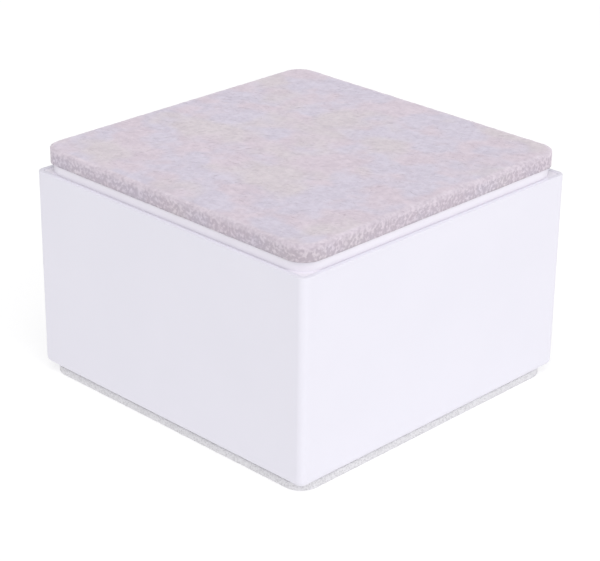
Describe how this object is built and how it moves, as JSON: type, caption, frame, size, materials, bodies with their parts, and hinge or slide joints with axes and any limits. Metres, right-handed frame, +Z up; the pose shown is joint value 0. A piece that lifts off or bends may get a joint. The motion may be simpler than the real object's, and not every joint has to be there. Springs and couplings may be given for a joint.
{
  "type": "bed riser",
  "caption": "Square bed riser: white coated steel shell around a ribbed plastic core, with a felt pad on top to carry a furniture leg and a foam pad underneath.",
  "frame": {"origin": "centre of the underside, on the floor", "axes": "+Z up through the felt pad; X and Y square to the four walls"},
  "size_m": [0.0762, 0.0762, 0.0508],
  "materials": {
    "coated_steel": "white powder coat, satin, with a very fine orange-peel texture",
    "core_plastic": "white moulded plastic, satin",
    "felt": "pressed grey felt with fine mixed fibres, very matte",
    "foam": "light grey closed-cell foam sheet, matte"
  },
  "bodies": {
    "root": {"steel_shell": "coated_steel", "inner_core": "core_plastic", "felt_pad": "felt", "base_pad": "foam"}
  },
  "joints": []
}
